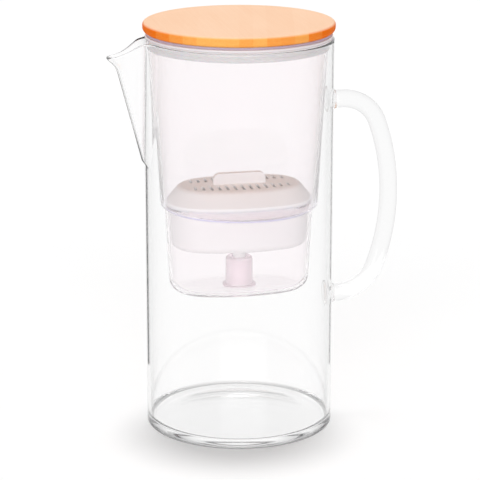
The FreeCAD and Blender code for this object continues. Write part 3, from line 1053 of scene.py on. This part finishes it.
    def handle_rings(self) -> np.ndarray:
        """Rings of the rod: a circle carried along runs and bends, flared to the wall at its ends.

        The path's heading falls in even steps of turn along each bend, and the path is its running sum.

        Returns:
            Rings as rows, columns and coordinates.
        """
        steep, lean = math.radians(90.0 - self.grip_lean), math.radians(self.grip_lean)
        straight = self.arm_spacing - (self.top_bend + self.low_bend) * (1.0 - math.cos(steep))
        grip = straight / (2.0 * math.sin(lean))
        low_run = self.arm_run + (self.top_bend - self.low_bend) * math.sin(steep)
        lengths = [self.arm_run, self.top_bend * steep, grip * 2.0 * lean, self.low_bend * steep, low_run]
        stops = np.concatenate([[0.0], np.cumsum(lengths)])
        length = stops[-1]
        headings = -np.array([0.0, 0.0, steep, steep + 2.0 * lean, math.pi, math.pi])
        fine = np.linspace(0.0, length, self.path_points)
        heading = np.interp(fine, stops, headings)
        step = fine[1] - fine[0]
        mid = 0.5 * (heading[1:] + heading[:-1])
        x = self.radius + np.concatenate([[0.0], np.cumsum(np.cos(mid)) * step])
        z = self.height - self.arm_drop + np.concatenate([[0.0], np.cumsum(np.sin(mid)) * step])
        ends = self.weld_length * np.linspace(0.0, 1.0, self.weld_rows)
        clear = self.weld_length + self.weld_guard
        along = np.concatenate([
            ends, np.linspace(clear, length - clear, self.rod_rows), (length - ends)[::-1]])
        near = np.minimum(along, length - along)
        flare = np.clip(1.0 - near / self.weld_length, 0.0, 1.0)
        radius = 0.5 * self.rod + self.weld_spread * flare ** self.weld_power
        cap = np.linspace(self.cap_share, 1.0 - self.cap_share, self.cap_rows)
        flat = np.ones(self.cap_rows)
        along = np.concatenate([0.0 * flat, along, length * flat])
        radius = np.concatenate([radius[0] * cap, radius, radius[-1] * cap[::-1]])
        saddle = np.concatenate([flat, flare, flat])[:, None]
        turn = np.linspace(0.0, 2.0 * np.pi, self.rod_columns, endpoint=False)
        lean_at = np.interp(along, fine, heading)[:, None]
        up = radius[:, None] * np.cos(turn)
        y = -radius[:, None] * np.sin(turn)
        px = np.interp(along, fine, x)[:, None] - np.sin(lean_at) * up
        pz = np.interp(along, fine, z)[:, None] + np.cos(lean_at) * up
        px = px - saddle * (self.radius - np.sqrt(self.radius ** 2 - y ** 2) - self.weld_gap)
        return np.stack([px, y, pz], axis=-1)

    def build(self, wall: Finish, rod: Finish) -> None:
        """Make the jug and its handle and dress them in glass.

        Args:
            wall: finish of the blown jug.
            rod: finish of the drawn rod.
        """
        body = "jug"
        settle(skin("jug_glass_wall", self.body_rings(), Ends.POLES), "glass_body", body,
               wall.material("clear_glass"))
        settle(skin("jug_rod_handle", self.handle_rings(), Ends.POLES), "glass_handle", body,
               rod.material("rod_glass"))


@dataclass
class FunnelInsert:
    """Milky funnel with its oval pocket, its gasket and the outlet post."""

    rim: float = 253.0
    gasket_lip: float = 0.8
    gasket_depth: float = 5.7
    gasket_radius: float = 57.3
    gasket_rib: float = 0.5
    flange: float = 1.6
    flange_radius: float = 59.0
    flange_round: float = 0.6
    flange_low_round: float = 0.35
    collar: float = 55.9
    collar_round: float = 1.5
    wall: float = 2.0
    taper: float = 5.7
    reservoir: float = 108.4
    chamfer: float = 1.8
    chamfer_round: float = 0.9
    end_ledge: float = 2.3
    ledge_round: float = 0.7
    fine_round: float = 0.25
    half_depth: float = 31.0
    crown: float = 3.0
    pocket: float = 57.5
    draft: float = 3.0
    pocket_round: float = 10.0
    pocket_root_round: float = 0.3
    pocket_lip_round: float = 0.6
    outlet: float = 7.6
    post_radius: float = 8.7
    post_height: float = 19.4
    post_round: float = 4.0
    post_neck: float = 7.5
    post_neck_round: float = 0.2
    post_foot: float = 2.0
    post_foot_height: float = 1.5
    post_foot_round: float = 0.5
    post_root_round: float = 0.6
    post_bore: float = 4.95
    post_bore_round: float = 0.3
    post_cavity: float = 5.7
    post_top: float = 4.0
    post_fine_round: float = 0.1
    seat: float = 0.05

    # How the surfaces are divided, and how far rings stand off where a round one meets an oval one
    columns: int = 360
    pocket_steps: int = 16
    post_steps: int = 7
    post_columns: int = 96
    floor_reach: float = 19.0
    root_off: float = 0.35
    cone_off: float = 0.1
    ledge_off: float = 0.8
    lip_off: float = 0.9
    outlet_off: float = 0.4

    @property
    def flange_low(self) -> float:
        """Height of the flange's underside."""
        return self.rim + self.gasket_lip

    @property
    def flange_top(self) -> float:
        """Height of the flange's top."""
        return self.flange_low + self.flange

    @property
    def ledge(self) -> float:
        """Height of the step's ledge."""
        return self.flange_top - self.reservoir

    @property
    def bottom(self) -> float:
        """Height of the pocket's underside."""
        return self.ledge - self.pocket

    @property
    def pocket_floor(self) -> float:
        """Height of the pocket's floor."""
        return self.bottom + self.wall

    @property
    def step_corner(self) -> float:
        """Height of the bevel on the step's corner, where the plastic carries a painted lavender highlight.
        """
        return self.ledge - 0.5 * self.chamfer

    @property
    def flange_haze(self) -> float:
        """Height from which the flange looks clouded."""
        return self.rim + 0.5 * self.gasket_lip

    def oval(self, outline: np.ndarray) -> np.ndarray:
        """Rings of ovals parallel to the pocket's outline at the ledge.

        Along a ray at angle t the end arc, centred c out on X with radius e, lies at
        c cos t + sqrt(e2 - c2 sin2 t), and the flat side arc, centred s behind the axis with radius S,
        at sqrt(S2 - s2 cos2 t) - s sin t.

        Args:
            outline: offset and height of each ring.

        Returns:
            Rings as rows, columns and coordinates.
        """
        turn = np.linspace(0.0, 2.0 * np.pi, self.columns, endpoint=False)
        end = self.half_depth - self.crown
        centre = self.collar - self.taper - self.end_ledge - end
        behind = (centre ** 2 - self.crown ** 2) / (2.0 * self.crown)
        offset, height = outline[:, 0, None], outline[:, 1, None]
        cosine, sine = np.abs(np.cos(turn)), np.abs(np.sin(turn))
        tip = end + offset
        flat = self.half_depth + behind + offset
        tilt = math.atan2(behind, centre)
        change = np.arctan2(tip * math.sin(tilt), centre + tip * math.cos(tilt))
        by_end = centre * cosine + np.sqrt(np.maximum(tip ** 2 - (centre * sine) ** 2, 0.0))
        by_side = np.sqrt(flat ** 2 - (behind * cosine) ** 2) - behind * sine
        radius = np.where(np.arctan2(sine, cosine) < change, by_end, by_side)
        return np.stack(np.broadcast_arrays(radius * np.cos(turn), radius * np.sin(turn), height), axis=-1)

    def funnel_rings(self) -> np.ndarray:
        """Rings of the funnel, round its wall: pocket outside, step, cone, flange, then the inside down.

        Returns:
            Rings as rows, columns and coordinates.
        """
        under, floor = self.ledge - self.wall, self.pocket_floor
        skirt = self.rim - self.gasket_depth
        step = self.collar - self.taper
        mouth = self.collar - self.wall
        slope = self.draft / self.pocket
        pocket_out = rounded([
            (-self.floor_reach, self.bottom, 0.0),
            (-self.draft, self.bottom, self.pocket_round),
            (-slope * self.wall, under, self.pocket_root_round),
            (self.root_off, under, 0.0)], False, self.pocket_steps)
        cone = rounded([
            (step - self.chamfer - self.cone_off, under, 0.0),
            (step - self.chamfer, under, self.fine_round),
            (step, under + self.chamfer, self.chamfer_round),
            (self.collar, skirt, self.collar_round),
            (self.collar, self.flange_low, self.fine_round),
            (self.flange_radius, self.flange_low, self.flange_low_round),
            (self.flange_radius, self.flange_top, self.flange_round),
            (mouth, self.flange_top, self.flange_round),
            (mouth, skirt, self.collar_round),
            (step - self.wall, self.ledge, self.ledge_round),
            (step - self.wall - self.ledge_off, self.ledge, 0.0)], False)
        pocket_in = rounded([
            (-self.wall + self.lip_off, self.ledge, 0.0),
            (-self.wall, self.ledge, self.pocket_lip_round),
            (-self.draft - self.wall, floor, self.pocket_round - self.wall),
            (-self.floor_reach, floor, 0.0)], False, self.pocket_steps)
        outlet = np.array([
            (self.outlet + self.outlet_off, floor), (self.outlet, floor),
            (self.outlet, self.bottom), (self.outlet + self.outlet_off, self.bottom)])
        return np.concatenate([
            self.oval(pocket_out), lathe(cone, self.columns),
            self.oval(pocket_in), lathe(outlet, self.columns)])

    def gasket_rings(self) -> np.ndarray:
        """Rings of the gasket: a lip on the glass rim over a skirt with two round ribs.

        Returns:
            Rings as rows, columns and coordinates.
        """
        inner = self.collar + self.seat
        low = self.rim - self.gasket_depth
        skirt = ribbed(self.gasket_radius, self.gasket_rib, low, self.rim)
        lip = rounded([
            (self.gasket_radius - self.gasket_rib, self.rim, 0.0),
            (self.flange_radius, self.rim, self.fine_round),
            (self.flange_radius, self.flange_low, self.fine_round),
            (inner, self.flange_low, 0.0)], False)
        return lathe(np.vstack([[(inner, low)], skirt, lip[1:]]))

    def post_rings(self) -> np.ndarray:
        """Rings of the post: a neck through the floor, a foot, a domed barrel and the bore inside it.

        Returns:
            Rings as rows, columns and coordinates.
        """
        floor = self.pocket_floor
        top = floor + self.post_height
        bore_end = top - self.post_top
        foot, foot_top = self.post_radius + self.post_foot, floor + self.post_foot_height
        return lathe(rounded([
            (self.post_cavity, self.bottom, self.post_neck_round),
            (self.post_neck, self.bottom, self.post_neck_round),
            (self.post_neck, floor, self.post_fine_round),
            (foot, floor, self.post_neck_round),
            (foot, foot_top, self.post_foot_round),
            (self.post_radius, foot_top, self.post_root_round),
            (self.post_radius, top, self.post_round),
            (self.post_bore, top, self.post_bore_round),
            (self.post_bore, bore_end, self.post_fine_round),
            (self.post_cavity, bore_end, self.post_fine_round)], True, self.post_steps), self.post_columns)

    def build(self, plastic: Finish, silicone: Finish, post: Finish) -> None:
        """Make the funnel, its gasket and the post, and dress them.

        Args:
            plastic: finish of the funnel.
            silicone: finish of the gasket.
            post: finish of the post.
        """
        body = "funnel_insert"
        settle(skin("milky_funnel", self.funnel_rings(), Ends.LOOP), "funnel", body,
               plastic.material("milky_plastic"))
        settle(skin("grey_gasket", self.gasket_rings(), Ends.LOOP), "funnel_gasket", body,
               silicone.material("grey_silicone"))
        settle(skin("domed_post", self.post_rings(), Ends.LOOP), "outlet_post", body,
               post.material("post_plastic"))


@dataclass
class Lid:
    """Turned bamboo disc with its plug, and the silicone seal round the plug."""

    under: float = 257.0
    thickness: float = 6.6
    radius: float = 60.6
    top_round: float = 2.2
    low_round: float = 3.0
    plug_radius: float = 51.4
    plug_depth: float = 7.5
    plug_round: float = 0.2
    lip_height: float = 1.0
    lip_width: float = 1.0
    lip_round: float = 0.4
    lip_top_round: float = 0.3
    lip_root_round: float = 0.1
    seal_flange: float = 1.6
    seal_flange_radius: float = 58.0
    seal_flange_round: float = 0.4
    seal_radius: float = 53.6
    seal_rib: float = 0.6
    seat: float = 0.05

    # How the disc is divided
    hub: float = 1.0
    disc_steps: int = 8
    disc_columns: int = 256

    @property
    def top(self) -> float:
        """Height of the disc's top."""
        return self.under + self.thickness

    def disc_rings(self) -> np.ndarray:
        """Rings of the disc, from the plug's underside out and up to the middle of the top.

        Returns:
            Rings as rows, columns and coordinates.
        """
        low = self.under - self.plug_depth
        lip, lip_top = self.plug_radius + self.lip_width, low + self.lip_height
        return lathe(rounded([
            (self.hub, low, 0.0),
            (lip, low, self.lip_round),
            (lip, lip_top, self.lip_top_round),
            (self.plug_radius, lip_top, self.lip_root_round),
            (self.plug_radius, self.under, self.plug_round),
            (self.radius, self.under, self.low_round),
            (self.radius, self.top, self.top_round),
            (self.hub, self.top, 0.0)], False, self.disc_steps), self.disc_columns)

    def seal_rings(self) -> np.ndarray:
        """Rings of the seal: a skirt with two round ribs under a flat flange.

        Returns:
            Rings as rows, columns and coordinates.
        """
        inner = self.plug_radius + self.seat
        low = self.under - self.plug_depth + self.lip_height
        shelf = self.under - self.seal_flange
        skirt = ribbed(self.seal_radius, self.seal_rib, low, shelf)
        flange = rounded([
            (self.seal_radius - self.seal_rib, shelf, 0.0),
            (self.seal_flange_radius, shelf, self.seal_flange_round),
            (self.seal_flange_radius, self.under, self.seal_flange_round),
            (inner, self.under, 0.0)], False)
        return lathe(np.vstack([[(inner, low)], skirt, flange[1:]]))

    def build(self, wood: Finish, silicone: Finish) -> None:
        """Make the disc and its seal and dress them.

        Args:
            wood: finish of the disc.
            silicone: finish of the seal.
        """
        body = "lid"
        settle(skin("bamboo_disc", self.disc_rings(), Ends.POLES), "lid_disc", body,
               wood.material("laminated_bamboo"))
        settle(skin("plug_seal", self.seal_rings(), Ends.LOOP), "lid_seal", body,
               silicone.material("lavender_silicone"))


@dataclass
class Cartridge:
    """Filter cartridge, whose nodes keep their shapes and are dressed only."""

    shell: Finish = MouldedPlastic()
    seal: Finish = Silicone((0.74, 0.74, 0.76), (0.82, 0.82, 0.84))
    fleece: Finish = Fleece()
    resin: Finish = FilterBed(Grain.BEADS, 0.0008, (0.72, 0.44, 0.14), (0.42, 0.22, 0.05), 0.25)
    carbon: Finish = FilterBed(
        Grain.GRANULES, 0.0013, (0.045, 0.045, 0.047), (0.012, 0.012, 0.013), 0.6)

    def build(self, nodes: dict[str, bpy.types.Object]) -> None:
        """Dress the cartridge's nodes.

        Args:
            nodes: the frame's nodes by name.
        """
        dresses = (
            ("cartridge_white", self.shell, ("cartridge_shell", "cartridge_cap")),
            ("pale_silicone", self.seal, ("cartridge_seal", "spigot_o_ring")),
            ("needled_fleece", self.fleece, ("upper_fleece", "middle_fleece", "lower_fleece")),
            ("resin_beads", self.resin, ("resin_bed",)),
            ("carbon_granules", self.carbon, ("carbon_bed",)))
        for title, finish, names in dresses:
            material = finish.material(title)
            for name in names:
                for slot in nodes[name].material_slots:
                    slot.material = material
                log.info("%s: dressed in %s", name, title)


# Studio

@dataclass(frozen=True)
class Lamp:
    """A wide, even light that shines down before it is tilted about X and turned about Z.

    Its angles are in degrees, its spread is how wide it looks from the pitcher, and its power is in watts
    per square metre.
    """

    name: str
    tilt: float
    turn: float
    spread: float
    power: float
    height: float = 2.0

    def hang(self) -> None:
        """Add the light to the scene."""
        data = bpy.data.lights.new(self.name, "SUN")
        data.energy = self.power
        data.angle = math.radians(self.spread)
        lamp = bpy.data.objects.new(self.name, data)
        lamp.location = (0.0, 0.0, self.height)
        lamp.rotation_euler = (math.radians(self.tilt), 0.0, math.radians(self.turn))
        bpy.context.scene.collection.objects.link(lamp)


@dataclass
class Studio:
    """White floor, soft light, two dark cards and the camera at the photograph's angle."""

    azimuth: float = -12.0
    distance: float = 1.3825
    height: float = 0.5047
    pitch: float = 15.514
    pan: float = -0.026
    lens: float = 167.4
    sensor: float = 36.0
    clip_start: float = 0.05
    clip_end: float = 50.0
    ambient: float = 0.46
    overhead: Lamp = Lamp("overhead_light", -6.5, -16.0, 11.0, 1.45)
    front: Lamp = Lamp("front_light", 72.0, -18.0, 60.0, 1.6)
    bounces: int = 96
    floor_half: float = 6.0
    floor_drop: float = 0.0002
    card_turn: float = 45.5
    card_reach: float = 0.144
    card_height: float = 0.24
    card_columns: int = 13
    left_width: float = 8.0
    right_width: float = 4.0

    def camera(self) -> None:
        """Put the camera round the object at its azimuth, looking down by its pitch."""
        data = bpy.data.cameras.new("studio_camera")
        data.lens = self.lens
        data.sensor_width = self.sensor
        data.clip_start, data.clip_end = self.clip_start, self.clip_end
        turn = math.radians(self.azimuth)
        camera = bpy.data.objects.new("studio_camera", data)
        camera.location = (self.distance * math.sin(turn), -self.distance * math.cos(turn), self.height)
        camera.rotation_euler = (math.radians(90.0 - self.pitch), 0.0, turn + math.radians(self.pan))
        bpy.context.scene.collection.objects.link(camera)
        bpy.context.scene.camera = camera

    @staticmethod
    def screen(name: str, points: np.ndarray, faces: list[tuple[int, ...]],
               finish: Finish) -> bpy.types.Object:
        """Make a plain sheet that belongs to the studio and not to the pitcher.

        Args:
            name: its name.
            points: its corners in metres.
            faces: the corners of each face.
            finish: its finish.

        Returns:
            The sheet.
        """
        mesh = bpy.data.meshes.new(name)
        mesh.from_pydata(points.tolist(), [], faces)
        mesh.materials.append(finish.material(name))
        made = bpy.data.objects.new(name, mesh)
        bpy.context.scene.collection.objects.link(made)
        return made

    def floor(self) -> None:
        """Lay a plain white floor just under the foot."""
        half, level = self.floor_half, -self.floor_drop
        corners = [(-half, -half, level), (half, -half, level), (half, half, level), (-half, half, level)]
        self.screen("white_floor", np.array(corners), [(0, 1, 2, 3)], FloorPaint())

    def card(self, name: str, side: float, width: float) -> None:
        """Stand a dark card behind the jug, curved about it, for the dark lines at the glass's edges.

        Args:
            name: its name.
            side: 1 for the left and -1 for the right, seen from the camera.
            width: its width in degrees about the jug's axis.
        """
        count = self.card_columns
        spread = np.linspace(self.card_turn - 0.5 * width, self.card_turn + 0.5 * width, count)
        angle = np.radians(90.0 + self.azimuth + side * spread)
        x, y = self.card_reach * np.cos(angle), self.card_reach * np.sin(angle)
        line = np.stack([x, y, np.zeros(count)], axis=-1)
        points = np.vstack([line, line + (0.0, 0.0, self.card_height)])
        faces = [(place, place + 1, place + count + 1, place + count) for place in range(count - 1)]
        card = self.screen(name, points, faces, DarkCard())
        card.visible_camera = False
        card.visible_diffuse = False
        card.visible_shadow = False

    def world(self) -> None:
        """White surroundings for the rays that show them, and even soft light for the rest."""
        world = bpy.data.worlds.new("studio")
        world.use_nodes = True
        sheet = NodeSheet(world.node_tree)
        soft = sheet.node("ShaderNodeBackground", sockets={"Color": WHITE, "Strength": self.ambient})
        white = sheet.node("ShaderNodeBackground", sockets={"Color": WHITE, "Strength": 1.0})
        shown = sheet.path("Is Camera Ray").at_least(sheet.through())
        sheet.node("ShaderNodeOutputWorld", sockets={"Surface": sheet.either(shown, soft, white)})
        bpy.context.scene.world = world

    def build(self) -> None:
        """Set up the floor, the light, the cards and the camera."""
        scene = bpy.context.scene
        scene.view_settings.view_transform = "Standard"
        scene.cycles.max_bounces = self.bounces
        scene.cycles.transmission_bounces = self.bounces
        scene.cycles.glossy_bounces = self.bounces
        scene.cycles.transparent_max_bounces = self.bounces
        self.floor()
        self.world()
        self.overhead.hang()
        self.front.hang()
        self.card("left_card", 1.0, self.left_width)
        self.card("right_card", -1.0, self.right_width)
        self.camera()


def main() -> None:
    """Build the pitcher and its studio."""
    logging.basicConfig(level=logging.INFO, format="%(name)s %(message)s")
    # The rod's colour greys edge on more than the jug's, as painted shade for its dark outlines.
    rod = ClearGlass(face=(0.96, 0.96, 0.96), edge=(0.35, 0.35, 0.355), edge_power=2.2)
    GlassJug().build(ClearGlass(), rod)
    funnel = FunnelInsert()
    step, flange = funnel.step_corner * MM, funnel.flange_haze * MM
    post = MilkyPlastic(
        step, flange, tint=(0.96, 0.87, 0.91), pale=(0.99, 0.93, 0.96), clear=0.6, rough=0.12, index=1.45)
    funnel.build(MilkyPlastic(step, flange), Silicone(), post)
    lid = Lid()
    lid.build(Bamboo(lid.top * MM), Silicone((0.42, 0.33, 0.42), (0.54, 0.44, 0.55)))
    Cartridge().build(frame["nodes"])
    Studio().build()
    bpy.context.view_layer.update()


if __name__ == "__main__":
    main()
